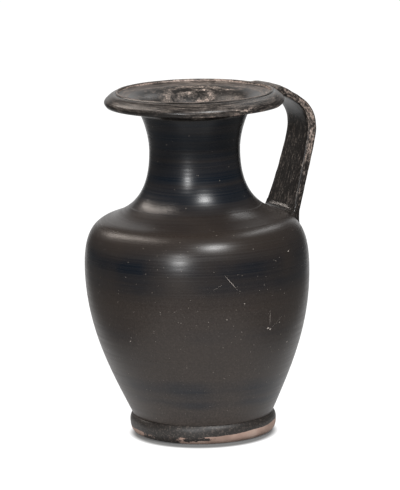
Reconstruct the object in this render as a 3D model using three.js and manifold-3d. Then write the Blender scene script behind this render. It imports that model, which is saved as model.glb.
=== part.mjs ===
// A small round-mouthed jug of black-gloss pottery, of the kind called an olpe, in millimetres with +Z up.
// The potter throws the body, the neck and the mouth on the wheel, turns the foot, pulls the strap handle
// from a roll of clay, and joins them with slip, a liquid clay that fires to a thin layer in each joint.
// The handle stands towards +X. The origin is under the middle of the whole jug, on the table.
import * as THREE from "three";
import { mergeVertices } from "three/addons/utils/BufferGeometryUtils.js";
import Module from "manifold-3d";

const wasm = await Module();
wasm.setup();

// Joints
const slipThickness = 0.4; // flat slip between two thrown pieces
const padThickness = 0.8; // slip between the handle and what it is pressed on
const fitGap = 0.3; // free space left on each side of a curved slip pad
const slipInset = 0.5; // how far the slip stays back from the surface of a joint

// Foot: a turned ring
const footHeight = 10.8;
const restInnerRadius = 33;
const restOuterRadius = 38.4;
const footRadius = 42.5;
const footBulgeHeight = 7.2; // height of the widest line of the foot
const footHeelAngle = 8; // degrees, how its edge leaves the table
const footHeelRun = 3.6; // how long it keeps that direction
const footSideRun = 3.6; // how long it stays upright below its widest line
const footCrownRun = 1.8; // and above it
const footCrownSlope = 41; // degrees, the round top edge where the body begins
const footTopRadius = 40.6;
const footBoreRadius = 29.6;
const footBoreRun = 5.4; // how long the bore stays upright below its top
const footBoreFlare = 72; // degrees, the bore against the table at the rest
const footBoreFlareRun = 3.8;

// Body: thrown, with a thick floor and a round shoulder
const bodyBaseRadius = 40.7;
const bossRadius = 28.9; // the floor hangs this wide into the foot ring
const bossDrop = 3; // and this far at its rim
const bossRound = 1.8; // the rim's round corner
const nippleDrop = 1.2; // and this much more in the middle
const nippleRun = 9; // how far the middle stays level
const floorThickness = 7;
const floorRound = 8; // height of the round between the floor and the wall
const floorRoundRun = 13; // and its width
const wallThickness = 4.5; // of the body and of the neck
const flareAngle = 65; // degrees, the lower wall against the table
const flareRun = 29; // how long it keeps that direction
const bellyRadius = 65;
const bellyRise = 85.6; // from the body's base to its widest line
const bellyRunBelow = 34; // how long the wall stays upright below the widest line
const bellyRunAbove = 19; // and above it
const shoulderRadius = 50.7; // where the shoulder turns from swelling to hollow
const shoulderRise = 29.8; // from the widest line to there
const shoulderSlope = 17.7; // degrees off the level there
const shoulderRunOut = 10;
const shoulderRunIn = 17.6;
const neckJointRise = 6.4; // from there to the joint with the neck

// Neck: thrown, narrow in the middle
const neckRadius = 26.2;
const neckTaperRise = 31.7; // from the neck joint to the narrowest line
const neckRunBelow = 22;
const neckRunAbove = 7;
const neckFlareRise = 20.9; // from the narrowest line to the joint with the mouth
const mouthJointRadius = 31.1;
const mouthJointSlope = 65; // degrees, the wall of the neck there
const mouthJointRun = 6.5;

// Mouth: a wide moulded lip with a raised crest round a ledge and a funnel
const lipUnderRise = 4.8; // from the mouth's base to the lower edge of the lip
const lipUnderStart = 3.4; // how long the neck's direction runs on under the lip
const lipUnderSlope = 2; // degrees, the underside at the lower edge
const lipUnderRun = 12; // how long it keeps that slope
const lipEdgeRadius = 50.5; // lower edge
const lipRadius = 51.8;
const lipRadiusRise = 2.2; // from the lower edge to the widest line
const lipCornerRun = 0.9; // how sharply it turns between them
const lipSideRun = 1.8; // how long it stays upright above the widest line
const lipSlope = 38; // degrees, the outer slope below the crest
const lipSlopeRun = 2.2;
const lipHeight = 8.3; // from the lower edge to the crest
const crestRadius = 46.3;
const crestHalfWidth = 0.9;
const crestRoundRun = 0.5;
const crestStep = 1.6; // drop from the crest to the ledge inside it
const ledgeRadius = 34; // inner end of the ledge
const ledgeDrop = 2.4; // how far the ledge falls towards the funnel
const ledgeSlope = 6; // degrees, at the foot of the crest
const funnelSlope = 22; // degrees, where the ledge turns into the funnel
const ledgeRun = 3.6; // how long the ledge keeps each of these slopes
const funnelRun = 5.5;
const throatRun = 4.5; // how long the funnel follows the neck's direction

// Handle: a pulled strap from the lip to the shoulder
const strapWidth = 23.8;
const strapWidthAtRim = 32;
const strapWidthAtRoot = 33;
const strapThicknessAtRim = 5.4;
const strapThicknessAtRoot = 4.8;
const strapEdgeRound = 1.7;
const strapStart = 5; // the end of the strap lies this far inside the edge of the lip
const strapStartDrop = 3.1; // middle of the strap below the crest there
const strapStartSlope = 13; // degrees downwards
const strapStartRun = 18.8; // how long it keeps that slope
const strapReach = 72.7; // middle of the strap from the axis of the jug, at its furthest
const strapReachDrop = 27.8; // its furthest point below the crest of the lip
const strapRunAbove = 12.8; // how long the strap stays upright above its furthest point
const strapRunBelow = 7.1; // and below it
const rootInset = 6.8; // where the strap meets the shoulder, in from the widest part of the belly
const rootRadius = bellyRadius - rootInset;
const rootSlope = 18.5; // degrees off the vertical
const rootRun = 8; // how long the strap comes down straight to its root
const rootDepth = 4; // how far its middle line runs on below the surface before it is cut
const rimSpreadRun = 22; // it widens over this length below the rim
const rootSpreadRun = 60; // and over this length above the root
const rootFlange = 1.9; // how far the slip stands out round the root
const rootFlangeTop = 0.9; // and at its upper edge
const rootFlangeHeight = 3.2;

// The jug dried a little crooked: its axis bows to one side
const leanDistance = 2.1;
const leanHeight = 137.6; // where it is furthest off
const leanDirection = 149; // degrees, against the handle

// Fineness
const turns = 48; // flats round a thrown piece
const curveSteps = 6; // points along each curve of an outline
const strapSteps = 15;
const joinTolerance = 0.5; // points nearer than this to a joint give way to the point on it
const endRun = 3; // an outline runs on by this before it is cut

const footTop = footHeight;
const bodyBase = footTop + slipThickness;
const bellyHeight = bodyBase + bellyRise;
const shoulderHeight = bellyHeight + shoulderRise;
const bodyTop = shoulderHeight + neckJointRise;
const neckBase = bodyTop + slipThickness;
const neckNarrow = neckBase + neckTaperRise;
const neckTop = neckNarrow + neckFlareRise;
const mouthBase = neckTop + slipThickness;
const lipEdge = mouthBase + lipUnderRise;
const lipTop = lipEdge + lipHeight;
const radians = Math.PI / 180;

const point = (radius, height) => new THREE.Vector2(radius, height);
const direction = (degrees) => point(Math.cos(degrees * radians), Math.sin(degrees * radians));
const from = (start, degrees, run) => start.clone().addScaledVector(direction(degrees), run);

// Follows lines and curves from a first point: a step of one point is a line, a step of three is a curve.
function outline(start, steps, fineness = curveSteps) {
  const path = new THREE.Path();
  path.moveTo(start.x, start.y);
  for (const step of steps) {
    if (step.length === 1) path.lineTo(step[0].x, step[0].y);
    else path.bezierCurveTo(...step.flatMap((p) => [p.x, p.y]));
  }
  return path.getPoints(fineness);
}

// Moves each point of an outline square to it: to the left of its direction, which is inwards on a wall
// that runs upwards. The ends move square to their own stretch.
function offset(points, distance) {
  return points.map((p, i) => {
    const before = points[Math.max(i - 1, 0)];
    const after = points[Math.min(i + 1, points.length - 1)];
    const along = after.clone().sub(before).normalize();
    return point(p.x - along.y * distance, p.y + along.x * distance);
  });
}

// The stretch of a rising outline between two heights, with an end point on each.
function between(points, low, high) {
  const crossing = (height) => {
    const i = points.findIndex((p) => p.y > height);
    const share = (height - points[i - 1].y) / (points[i].y - points[i - 1].y);
    return points[i - 1].clone().lerp(points[i], share);
  };
  const inside = points.filter((p) => p.y > low + joinTolerance && p.y < high - joinTolerance);
  return [crossing(low), ...inside, crossing(high)];
}

function bendWithAxis(geometry) {
  const position = geometry.attributes.position;
  for (let i = 0; i < position.count; i++) {
    const away = leanDistance * Math.sin(((Math.PI / 2) * position.getZ(i)) / leanHeight);
    position.setX(i, position.getX(i) + away * Math.cos(leanDirection * radians));
    position.setY(i, position.getY(i) + away * Math.sin(leanDirection * radians));
  }
  return geometry;
}

// A piece thrown on the wheel, from the outline of its section.
function thrown(points) {
  const geometry = new THREE.LatheGeometry(points, turns);
  geometry.rotateX(Math.PI / 2);
  return bendWithAxis(geometry);
}

// A closed skin over a row of rings that all have the same number of points.
function skinned(rings) {
  const count = rings[0].length;
  const corners = rings.flat();
  const faces = [];
  for (let i = 0; i < rings.length - 1; i++) {
    for (let j = 0; j < count; j++) {
      const next = (j + 1) % count;
      const a = i * count + j;
      const b = i * count + next;
      faces.push(a, b, b + count, a, b + count, a + count);
    }
  }
  const last = (rings.length - 1) * count;
  for (let j = 1; j < count - 1; j++) {
    faces.push(0, j + 1, j);
    faces.push(last, last + j, last + j + 1);
  }
  const geometry = new THREE.BufferGeometry().setFromPoints(corners);
  geometry.setIndex(faces);
  return bendWithAxis(geometry);
}

function solid(geometry) {
  const bare = new THREE.BufferGeometry();
  bare.setAttribute("position", geometry.attributes.position);
  bare.setIndex(geometry.index);
  const merged = mergeVertices(bare, 1e-3);
  const corners = merged.index.array;
  const kept = [];
  for (let i = 0; i < corners.length; i += 3) {
    const [a, b, c] = corners.slice(i, i + 3);
    if (a !== b && b !== c && c !== a) kept.push(a, b, c);
  }
  return new wasm.Manifold(
    new wasm.Mesh({
      numProp: 3,
      vertProperties: new Float32Array(merged.attributes.position.array),
      triVerts: new Uint32Array(kept),
    }),
  );
}

function geometryOf(manifold) {
  const mesh = manifold.getMesh();
  const geometry = new THREE.BufferGeometry();
  geometry.setAttribute("position", new THREE.BufferAttribute(new Float32Array(mesh.vertProperties), 3));
  geometry.setIndex(new THREE.BufferAttribute(new Uint32Array(mesh.triVerts), 1));
  geometry.computeVertexNormals();
  return geometry;
}

const ware = {
  gloss: { color: 0x211d1c, roughness: 0.34 },
  wornGloss: { color: 0x3f3431, roughness: 0.5 },
  clay: { color: 0x94705c, roughness: 0.8 },
  slip: { color: 0x5c4a41, roughness: 0.75 },
};
const jug = new THREE.Group();

function add(name, geometry, finish) {
  const material = new THREE.MeshStandardMaterial({ ...finish, metalness: 0 });
  const mesh = new THREE.Mesh(geometry, material);
  mesh.name = name;
  jug.add(mesh);
}

// The turned ring foot: a flat to rest on, a rounded bulge, and a bore that narrows upwards.
const footWidest = point(footRadius, footBulgeHeight);
const footOutline = outline(point(restInnerRadius, 0), [
  [point(restOuterRadius, 0)],
  [
    from(point(restOuterRadius, 0), footHeelAngle, footHeelRun),
    from(footWidest, -90, footSideRun),
    footWidest,
  ],
  [
    from(footWidest, 90, footCrownRun),
    from(point(footTopRadius, footTop), -footCrownSlope, footCrownRun / 2),
    point(footTopRadius, footTop),
  ],
  [point(footBoreRadius, footTop)],
  [
    from(point(footBoreRadius, footTop), -90, footBoreRun),
    from(point(restInnerRadius, 0), 180 - footBoreFlare, footBoreFlareRun),
    point(restInnerRadius, 0),
  ],
]);
add("foot", thrown(footOutline), ware.clay);

// A flat ring of slip between two thrown pieces.
function flatSlip(inner, outer, bottom) {
  const top = bottom + slipThickness;
  const square = [point(inner, bottom), point(outer, bottom), point(outer, top), point(inner, top)];
  return thrown([...square, square[0]]);
}
add(
  "foot_slip",
  flatSlip(footBoreRadius + slipInset, footTopRadius - slipInset, footTop),
  ware.slip,
);

// The wall runs on smoothly from the foot to the mouth, so body and neck are cut from one outline.
const bellyPoint = point(bellyRadius, bellyHeight);
const shoulderPoint = point(shoulderRadius, shoulderHeight);
const neckPoint = point(neckRadius, neckNarrow);
const mouthJoint = point(mouthJointRadius, neckTop);
const wallOutside = outline(point(bodyBaseRadius, bodyBase), [
  [
    from(point(bodyBaseRadius, bodyBase), flareAngle, flareRun),
    from(bellyPoint, -90, bellyRunBelow),
    bellyPoint,
  ],
  [
    from(bellyPoint, 90, bellyRunAbove),
    from(shoulderPoint, -shoulderSlope, shoulderRunOut),
    shoulderPoint,
  ],
  [
    from(shoulderPoint, 180 - shoulderSlope, shoulderRunIn),
    from(neckPoint, -90, neckRunBelow),
    neckPoint,
  ],
  [
    from(neckPoint, 90, neckRunAbove),
    from(mouthJoint, mouthJointSlope + 180, mouthJointRun),
    mouthJoint,
  ],
  [from(mouthJoint, mouthJointSlope, endRun)],
]);
const wallInside = offset([from(wallOutside[0], flareAngle + 180, endRun), ...wallOutside], wallThickness);
const neckJointInner = between(wallInside, bodyBase, bodyTop).at(-1).x;
const neckJointOuter = between(wallOutside, bodyBase + 1, bodyTop).at(-1).x;
const mouthJointInner = between(wallInside, neckBase, neckTop).at(-1).x;

// The body: out from the axis under the floor, up the outside, and back down the inside.
const undersideMiddle = bodyBase - bossDrop - nippleDrop;
const floorTop = undersideMiddle + floorThickness;
const bossEdge = point(bossRadius - bossRound, bodyBase - bossDrop);
const bodyUnderside = outline(point(0, undersideMiddle), [
  [point(nippleRun, undersideMiddle), from(bossEdge, 180, nippleRun), bossEdge],
  [point(bossRadius, bodyBase)],
]);
const bodyOutside = wallOutside.filter((p) => p.y < bodyTop - joinTolerance);
const bodyInside = between(wallInside, floorTop + floorRound, bodyTop).reverse();
const wallFoot = bodyInside.at(-1);
const floorEdge = point(wallFoot.x - floorRoundRun, floorTop);
const bodyFloor = outline(wallFoot, [
  [
    from(wallFoot, flareAngle + 180, floorRound / 2),
    from(floorEdge, 0, floorRound / 2),
    floorEdge,
  ],
  [point(0, floorTop)],
]);
const bodyOutline = [
  ...bodyUnderside,
  ...bodyOutside,
  point(neckJointOuter, bodyTop),
  ...bodyInside,
  ...bodyFloor.slice(1),
];
add("body", thrown(bodyOutline), ware.gloss);
add("neck_slip", flatSlip(neckJointInner + slipInset, neckJointOuter - slipInset, bodyTop), ware.slip);

// The neck: hollow in outline, flaring into the mouth.
const neckOutside = between(wallOutside, neckBase, neckTop);
const neckInside = between(wallInside, neckBase, neckTop).reverse();
add("neck", thrown([...neckOutside, ...neckInside, neckOutside[0]]), ware.gloss);
add("mouth_slip", flatSlip(mouthJointInner + slipInset, mouthJointRadius - slipInset, neckTop), ware.slip);

// The mouth: the underside of the lip, its swelling outer face, the crest, and the ledge and funnel inside.
const lipCorner = point(lipEdgeRadius, lipEdge);
const lipWidest = point(lipRadius, lipEdge + lipRadiusRise);
const crestOuter = point(crestRadius + crestHalfWidth, lipTop - crestHalfWidth);
const crestTop = point(crestRadius, lipTop);
const lipOutside = outline(point(mouthJointRadius, mouthBase), [
  [
    from(point(mouthJointRadius, mouthBase), mouthJointSlope, lipUnderStart),
    from(lipCorner, 180 + lipUnderSlope, lipUnderRun),
    lipCorner,
  ],
  [from(lipCorner, 45, lipCornerRun), from(lipWidest, -90, lipCornerRun), lipWidest],
  [from(lipWidest, 90, lipSideRun), from(crestOuter, -lipSlope, lipSlopeRun), crestOuter],
  [from(crestOuter, 180 - lipSlope, crestRoundRun), from(crestTop, 0, crestRoundRun), crestTop],
]);
const stepFoot = point(crestRadius - 2 * crestHalfWidth, lipTop - crestStep);
const ledgeEnd = point(ledgeRadius, lipTop - crestStep - ledgeDrop);
const throat = point(mouthJointInner, mouthBase);
const mouthInside = outline(crestTop, [
  [from(crestTop, 180, crestRoundRun), from(stepFoot, 90, crestRoundRun), stepFoot],
  [from(stepFoot, 180 + ledgeSlope, ledgeRun), from(ledgeEnd, funnelSlope, ledgeRun), ledgeEnd],
  [
    from(ledgeEnd, 180 + funnelSlope, funnelRun),
    from(throat, mouthJointSlope, throatRun),
    throat,
  ],
  [point(mouthJointRadius, mouthBase)],
]);
add("mouth", thrown([...lipOutside, ...mouthInside.slice(1)]), ware.wornGloss);

// The outer face of a thrown piece grown by a distance and filled to the axis, to cut its neighbours with.
function cutterRound(outside, distance) {
  const grown = offset(outside, -distance);
  return solid(thrown([point(0, grown[0].y), ...grown, point(0, grown.at(-1).y)]));
}
const padInner = fitGap;
const padOuter = padInner + padThickness;
const strapSeat = padOuter + fitGap;

// The middle line of the strap: over from the lip to its furthest point, then down into the shoulder.
function shoulderHeightAt(radius) {
  const shoulder = wallOutside.filter((p) => p.y > bellyHeight - joinTolerance);
  const i = shoulder.findIndex((p) => p.x < radius);
  const share = (radius - shoulder[i - 1].x) / (shoulder[i].x - shoulder[i - 1].x);
  return shoulder[i - 1].y + share * (shoulder[i].y - shoulder[i - 1].y);
}
const rootDown = -90 - rootSlope; // degrees, the way the strap runs into the shoulder
const strapFrom = point(lipRadius - strapStart, lipTop - strapStartDrop);
const strapFurthest = point(strapReach, lipTop - strapReachDrop);
const strapFoot = point(rootRadius, shoulderHeightAt(rootRadius));
const strapLine = outline(
  strapFrom,
  [
    [
      from(strapFrom, -strapStartSlope, strapStartRun),
      from(strapFurthest, 90, strapRunAbove),
      strapFurthest,
    ],
    [
      from(strapFurthest, -90, strapRunBelow),
      from(strapFoot, 90 - rootSlope, rootRun),
      strapFoot,
    ],
    [from(strapFoot, rootDown, rootDepth)],
  ],
  strapSteps,
);

// One ring round the strap: a rectangle with round corners, square to the middle line.
function strapRing(middle, along, width, thickness) {
  const outwards = new THREE.Vector3(-along.y, 0, along.x);
  const corners = [
    [1, 1],
    [-1, 1],
    [-1, -1],
    [1, -1],
  ];
  return corners.flatMap(([sideways, upwards], quarter) =>
    [0, 45, 90].map((turn) => {
      const angle = (quarter * 90 + turn) * radians;
      const across = sideways * (width / 2 - strapEdgeRound) + strapEdgeRound * Math.cos(angle);
      const out = upwards * (thickness / 2 - strapEdgeRound) + strapEdgeRound * Math.sin(angle);
      return new THREE.Vector3(middle.x, across, middle.y).addScaledVector(outwards, out);
    }),
  );
}

// The strap as one skin, thicker and wider all round by twice the growth.
function strapSkin(growth) {
  const runs = [0];
  for (let i = 1; i < strapLine.length; i++) {
    runs.push(runs[i - 1] + strapLine[i].distanceTo(strapLine[i - 1]));
  }
  const length = runs.at(-1);
  const rings = strapLine.map((middle, i) => {
    const before = strapLine[Math.max(i - 1, 0)];
    const after = strapLine[Math.min(i + 1, strapLine.length - 1)];
    const along = after.clone().sub(before).normalize();
    const nearRim = Math.max(0, 1 - runs[i] / rimSpreadRun) ** 2;
    const nearRoot = Math.max(0, 1 - (length - runs[i]) / rootSpreadRun) ** 2;
    const width =
      strapWidth + (strapWidthAtRim - strapWidth) * nearRim + (strapWidthAtRoot - strapWidth) * nearRoot;
    const thickness =
      strapThicknessAtRim + (strapThicknessAtRoot - strapThicknessAtRim) * (runs[i] / length);
    return strapRing(middle, along, width + 2 * growth, thickness + 2 * growth);
  });
  return solid(skinned(rings));
}
const strap = strapSkin(0);
const handle = strap
  .subtract(cutterRound(lipOutside, strapSeat))
  .subtract(cutterRound(bodyOutside, strapSeat));
add("handle", geometryOf(handle), ware.wornGloss);

// The slip under the upper end of the strap, spread on the lip.
const rimSlip = strap
  .intersect(cutterRound(lipOutside, padOuter))
  .subtract(cutterRound(lipOutside, padInner));
add("handle_rim_slip", geometryOf(rimSlip), ware.slip);

// The slip under the root of the strap, pressed up round it as a low flange.
const flangeRing = (rise, spread) =>
  strapRing(
    from(strapFoot, rootDown, -rise),
    direction(rootDown),
    strapWidthAtRoot + 2 * spread,
    strapThicknessAtRoot + 2 * spread,
  );
const flange = skinned([flangeRing(rootFlangeHeight, rootFlangeTop), flangeRing(-rootDepth, rootFlange)]);
const rootSlip = solid(flange)
  .subtract(cutterRound(bodyOutside, padInner))
  .subtract(strapSkin(fitGap).subtract(cutterRound(bodyOutside, padOuter)));
add("handle_root_slip", geometryOf(rootSlip), ware.slip);

const middle = new THREE.Box3().setFromObject(jug).getCenter(new THREE.Vector3());
jug.position.set(-middle.x, -middle.y, 0);
const olpe = new THREE.Group();
olpe.add(jug);

export default olpe;
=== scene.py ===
# The jug in the photo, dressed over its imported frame: black-gloss pottery, worn at the lip, handle and foot.
import math

import bmesh
import bpy
import numpy as np
from mathutils import Matrix, Vector, noise


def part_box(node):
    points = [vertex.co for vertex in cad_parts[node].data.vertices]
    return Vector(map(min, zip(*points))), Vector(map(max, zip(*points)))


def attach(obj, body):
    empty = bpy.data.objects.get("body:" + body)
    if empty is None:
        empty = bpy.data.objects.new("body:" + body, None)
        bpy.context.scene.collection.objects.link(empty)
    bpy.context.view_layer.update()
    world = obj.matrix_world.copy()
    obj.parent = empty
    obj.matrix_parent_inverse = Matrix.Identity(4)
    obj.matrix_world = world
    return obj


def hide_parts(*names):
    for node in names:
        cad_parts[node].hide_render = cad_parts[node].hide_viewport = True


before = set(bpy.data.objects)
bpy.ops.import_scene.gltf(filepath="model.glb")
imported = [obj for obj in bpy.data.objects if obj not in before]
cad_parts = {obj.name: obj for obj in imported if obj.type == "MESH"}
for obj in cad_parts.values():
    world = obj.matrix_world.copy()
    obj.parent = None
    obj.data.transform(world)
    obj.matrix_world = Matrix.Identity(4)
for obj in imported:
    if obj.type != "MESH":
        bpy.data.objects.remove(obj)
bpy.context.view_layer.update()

# Body: thrown in one go from the floor to the shoulder, of a brown-firing clay under black gloss, and
# turned outside, with faint rills from the fingers. The floor hangs a little into the foot ring, with a
# small nipple in the middle.
# Sizes are in millimetres. The axis stands on the foot's middle and bows to one side, as the jug dried a
# little crooked.
MM = 0.001
lean_distance = 2.1
lean_height = 137.6
lean_direction = math.radians(149)
foot_widest = 7.2


def bow(z):
    return lean_distance * np.sin(math.pi / 2 * z / lean_height)


foot_low, foot_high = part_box("foot")
axis_x = (foot_low[0] + foot_high[0]) / 2 / MM - bow(foot_widest) * math.cos(lean_direction)
axis_y = (foot_low[1] + foot_high[1]) / 2 / MM - bow(foot_widest) * math.sin(lean_direction)


# Ways to draw the section of a thrown piece, and to turn it into a closed ring.
def towards(start, degrees, run):
    angle = math.radians(degrees)
    return (start[0] + run * math.cos(angle), start[1] + run * math.sin(angle))


def curve(a, b, c, d, steps):
    t = np.linspace(0, 1, steps + 1)[:, None]
    a, b, c, d = (np.array(p, float) for p in (a, b, c, d))
    return (1 - t) ** 3 * a + 3 * (1 - t) ** 2 * t * b + 3 * (1 - t) * t * t * c + t**3 * d


def joined(*runs):
    points = [np.array(runs[0], float).reshape(-1, 2)]
    for run in runs[1:]:
        run = np.array(run, float).reshape(-1, 2)
        if np.hypot(*(run[0] - points[-1][-1])) < 1e-6:
            run = run[1:]
        points.append(run)
    return np.vstack(points)


def even(points, spacing):
    """The same outline with points at an even spacing."""
    lengths = np.r_[0, np.cumsum(np.hypot(*np.diff(points, axis=0).T))]
    count = max(2, int(round(lengths[-1] / spacing)) + 1)
    at = np.linspace(0, lengths[-1], count)
    return np.stack([np.interp(at, lengths, points[:, 0]), np.interp(at, lengths, points[:, 1])], 1)


def stand(rho, angle, z):
    """From distance, angle and height round the bowed axis to metres in the jug's frame."""
    x = axis_x + bow(z) * math.cos(lean_direction) + rho * np.cos(angle)
    y = axis_y + bow(z) * math.sin(lean_direction) + rho * np.sin(angle)
    return np.stack([x, y, z], -1) * MM


def make_piece(name, corners, faces, body="root"):
    mesh = bpy.data.meshes.new(name)
    mesh.from_pydata([tuple(c) for c in corners], [], faces)
    tidy = bmesh.new()
    tidy.from_mesh(mesh)
    bmesh.ops.remove_doubles(tidy, verts=tidy.verts, dist=1e-7)
    bmesh.ops.recalc_face_normals(tidy, faces=tidy.faces)
    tidy.to_mesh(mesh)
    tidy.free()
    mesh.polygons.foreach_set("use_smooth", [True] * len(mesh.polygons))
    mesh.set_sharp_from_angle(angle=math.radians(50))
    piece = bpy.data.objects.new(name, mesh)
    bpy.context.scene.collection.objects.link(piece)
    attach(piece, body)
    return piece


def thrown(name, outline, turns, relief):
    """A closed ring from the outline of its section; relief moves each point in or out by a formula."""
    angles = np.arange(turns) * 2 * math.pi / turns
    rho = np.repeat(outline[:, :1], turns, axis=1)
    z = np.repeat(outline[:, 1:], turns, axis=1)
    angle = np.repeat(angles[None, :], len(outline), axis=0)
    rho, z = relief(rho, angle, z)
    rho = np.maximum(rho, 0)
    corners = stand(rho, angle, z).reshape(-1, 3)
    rows = len(outline)
    faces = []
    closed = np.hypot(*(outline[0] - outline[-1])) < 1e-6
    for i in range(rows - 1):
        top = 0 if closed and i == rows - 2 else i + 1
        for j in range(turns):
            k = (j + 1) % turns
            faces.append((i * turns + j, i * turns + k, top * turns + k, top * turns + j))
    if closed:
        corners = corners[: (rows - 1) * turns]
    return make_piece(name, corners, faces)


def waves(angle, z, seed, stretch=1.0, height=18.0):
    """A smooth unevenness all round, between about -1 and 1."""
    total = 0
    for k in range(1, 5):
        total = total + np.sin(k * angle * stretch + seed * k * 1.7 + z / height * (1 + 0.35 * k)) / k
    return total / 2

# The outline of body and neck in one run, from the foot up to the mouth.
body_base = 11.2
belly = (65.0, 96.8)
shoulder = (50.7, 126.6)
neck = (26.2, 165.1)
mouth_joint = (31.1, 186.2)
wall_thickness = 4.5
body_joint_height = 133.2
wall_outside = joined(
    curve((40.7, body_base), towards((40.7, body_base), 65, 29), (belly[0], belly[1] - 34.2), belly, 200),
    curve(belly, (belly[0], belly[1] + 18.9), towards(shoulder, -17.7, 10), shoulder, 120),
    curve(shoulder, towards(shoulder, 162.3, 17.6), (neck[0], neck[1] - 22), neck, 120),
    curve(neck, (neck[0], neck[1] + 6.8), towards(mouth_joint, 245, 6.5), mouth_joint, 80),
)


def wall_inside_of(points):
    along = np.gradient(points, axis=0)
    along /= np.hypot(*along.T)[:, None]
    return points + wall_thickness * np.stack([-along[:, 1], along[:, 0]], 1)


wall_inside = wall_inside_of(wall_outside)


def stretch(points, low, high):
    kept = points[(points[:, 1] > low) & (points[:, 1] < high)]
    ends = [(np.interp(z, points[:, 1], points[:, 0]), z) for z in (low, high)]
    return joined(np.vstack([[ends[0]], kept, [ends[1]]]))

floor_top = 14.0
boss_radius = 28.9
underside = [(0.02, 7.0), (9, 7.2), (20, 8.0), (27.1, 8.2), (boss_radius, 9.4),
             (boss_radius, body_base)]
body_outer = even(stretch(wall_outside, body_base, body_joint_height), 0.6)
body_inner = even(stretch(wall_inside, 21.0, body_joint_height), 3.0)[::-1]
floor_round = curve(body_inner[-1], towards(body_inner[-1], 245, 4), (30, floor_top), (26, floor_top), 8)
body_outline = joined(
    even(np.array(underside), 1.5), body_outer, body_inner, floor_round, [(0.02, floor_top)],
)


def body_wobble(angle, z):
    return 0.12 * waves(angle, z, 1.3, height=40.0)


def body_relief(rho, angle, z):
    """Finger rills and a slight wobble outside, fading out below the neck."""
    outer = rho > 38
    rills = 0.035 * np.sin(z * 2 * math.pi / 3.1 + 0.8 * np.sin(angle)) + 0.03 * np.sin(z * 2 * math.pi / 7.3)
    top = np.clip((body_joint_height - z) / 6, 0, 1)
    return rho + outer * top * (rills * 0.22 + body_wobble(angle, z)), z


body = thrown("body_wall", body_outline, 288, body_relief)


# Short ways to add a shader node, and to make and use a node group that puts out masks.
def node(tree, kind, **values):
    """A node with its settings and inputs. A socket given links; i0, i1 name inputs by their place."""
    made = tree.nodes.new(kind)
    for key, value in values.items():
        if hasattr(made, key) and key not in made.inputs:
            setattr(made, key, value)
            continue
        socket = made.inputs[int(key[1:])] if key[0] == "i" and key[1:].isdigit() else made.inputs[key]
        if isinstance(value, bpy.types.NodeSocket):
            tree.links.new(value, socket)
        else:
            socket.default_value = value
    return made


def effect(name, inputs, outputs):
    tree = bpy.data.node_groups.new(name, "ShaderNodeTree")
    tree.interface.new_socket("Vector", in_out="INPUT", socket_type="NodeSocketVector")
    for key, value in inputs.items():
        socket = tree.interface.new_socket(key, in_out="INPUT", socket_type="NodeSocketFloat")
        socket.default_value = value
    for key in outputs:
        tree.interface.new_socket(key, in_out="OUTPUT", socket_type="NodeSocketFloat")
    return tree, tree.nodes.new("NodeGroupInput"), tree.nodes.new("NodeGroupOutput")


def use(tree, group, vector, **values):
    made = tree.nodes.new("ShaderNodeGroup")
    made.node_tree = group
    tree.links.new(vector, made.inputs["Vector"])
    for key, value in values.items():
        made.inputs[key].default_value = value
    return made


def maths(tree, operation, a, b=0.5, clamp=False):
    made = tree.nodes.new("ShaderNodeMath")
    made.operation = operation
    made.use_clamp = clamp
    for socket, value in zip(made.inputs, (a, b)):
        if isinstance(value, bpy.types.NodeSocket):
            tree.links.new(value, socket)
        else:
            socket.default_value = value
    return made.outputs[0]


def ramp(tree, factor, stops):
    made = tree.nodes.new("ShaderNodeValToRGB")
    tree.links.new(factor, made.inputs[0])
    elements = made.color_ramp.elements
    while len(elements) < len(stops):
        elements.new(0.5)
    for element, (place, colour) in zip(elements, stops):
        element.position = place
        element.color = (*colour, 1) if isinstance(colour, tuple) else (colour, colour, colour, 1)
    return made.outputs[0]


def blend_colours(tree, factor, a, b, kind="MIX"):
    made = tree.nodes.new("ShaderNodeMix")
    made.data_type = "RGBA"
    made.blend_type = kind
    for socket, value in ((made.inputs[0], factor), (made.inputs[6], a), (made.inputs[7], b)):
        if isinstance(value, bpy.types.NodeSocket):
            tree.links.new(value, socket)
        elif isinstance(value, tuple):
            socket.default_value = (*value, 1)
        else:
            socket.default_value = value
    return made.outputs[2]


# Fine lines that the wheel and the brush leave round the pot.
wheel_lines, given, out = effect("wheel_lines", {"Across": 7.0, "Along": 900.0}, ("Lines", "Bands"))
split = node(wheel_lines, "ShaderNodeSeparateXYZ", Vector=given.outputs["Vector"])
flat_x = maths(wheel_lines, "MULTIPLY", split.outputs[0], given.outputs["Across"])
flat_y = maths(wheel_lines, "MULTIPLY", split.outputs[1], given.outputs["Across"])
tall_z = maths(wheel_lines, "MULTIPLY", split.outputs[2], given.outputs["Along"])
squeezed = node(wheel_lines, "ShaderNodeCombineXYZ", X=flat_x, Y=flat_y, Z=tall_z)
lines = node(wheel_lines, "ShaderNodeTexNoise", Vector=squeezed.outputs[0], Scale=1.0, Detail=5.0,
             Roughness=0.65)
slow_z = maths(wheel_lines, "MULTIPLY", tall_z, 0.16)
slower = node(wheel_lines, "ShaderNodeCombineXYZ", X=flat_x, Y=flat_y, Z=slow_z)
bands = node(wheel_lines, "ShaderNodeTexNoise", Vector=slower.outputs[0], Scale=1.0, Detail=3.0,
             Roughness=0.5)
wheel_lines.links.new(lines.outputs[0], out.inputs["Lines"])
wheel_lines.links.new(bands.outputs[0], out.inputs["Bands"])

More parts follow.
